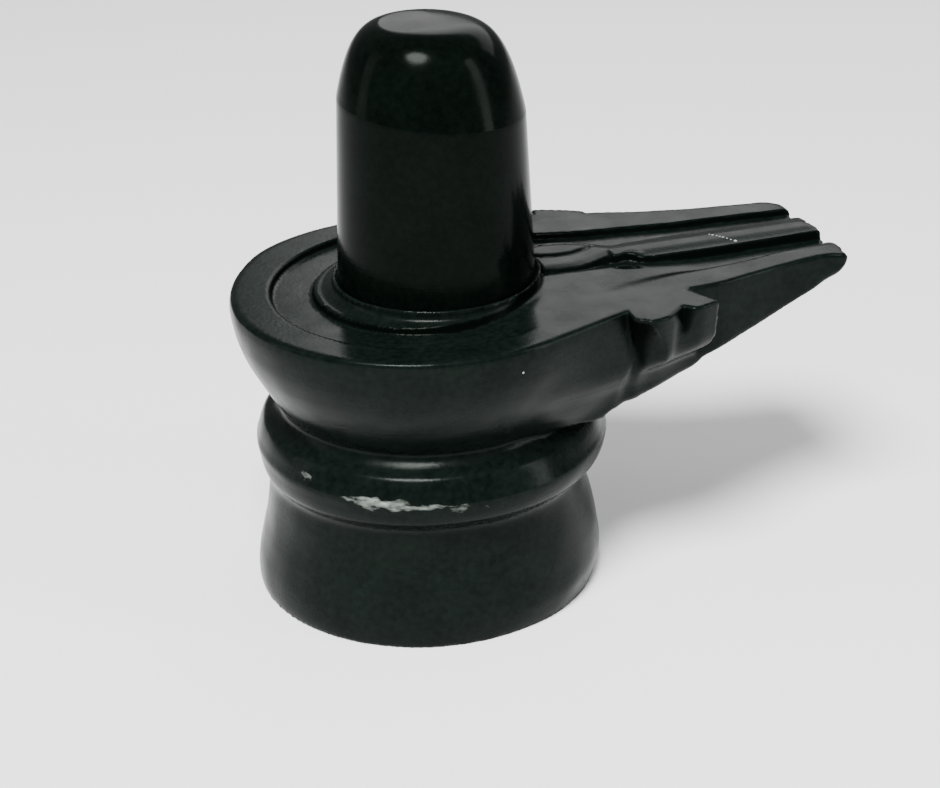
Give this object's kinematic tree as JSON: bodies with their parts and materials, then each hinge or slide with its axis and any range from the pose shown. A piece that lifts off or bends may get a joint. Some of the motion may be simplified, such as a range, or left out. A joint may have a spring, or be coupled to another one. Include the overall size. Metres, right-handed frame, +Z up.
{
  "type": "shiva lingam",
  "caption": "Dark polished stone shivling: a domed shaft seated in a round turned base whose rim runs out into a channelled spout.",
  "frame": {"origin": "centre of the round underside, on the plane that the base stands on", "axes": "+Z up along the shaft, +X out along the spout, +Y across the spout"},
  "size_m": [0.1057, 0.0666, 0.1],
  "materials": {
    "black_stone_shaft": "polished",
    "black_stone_base": "polished, hand-carved"
  },
  "bodies": {
    "root": {"lingam": "black_stone_shaft", "yoni_base": "black_stone_base"}
  },
  "joints": []
}
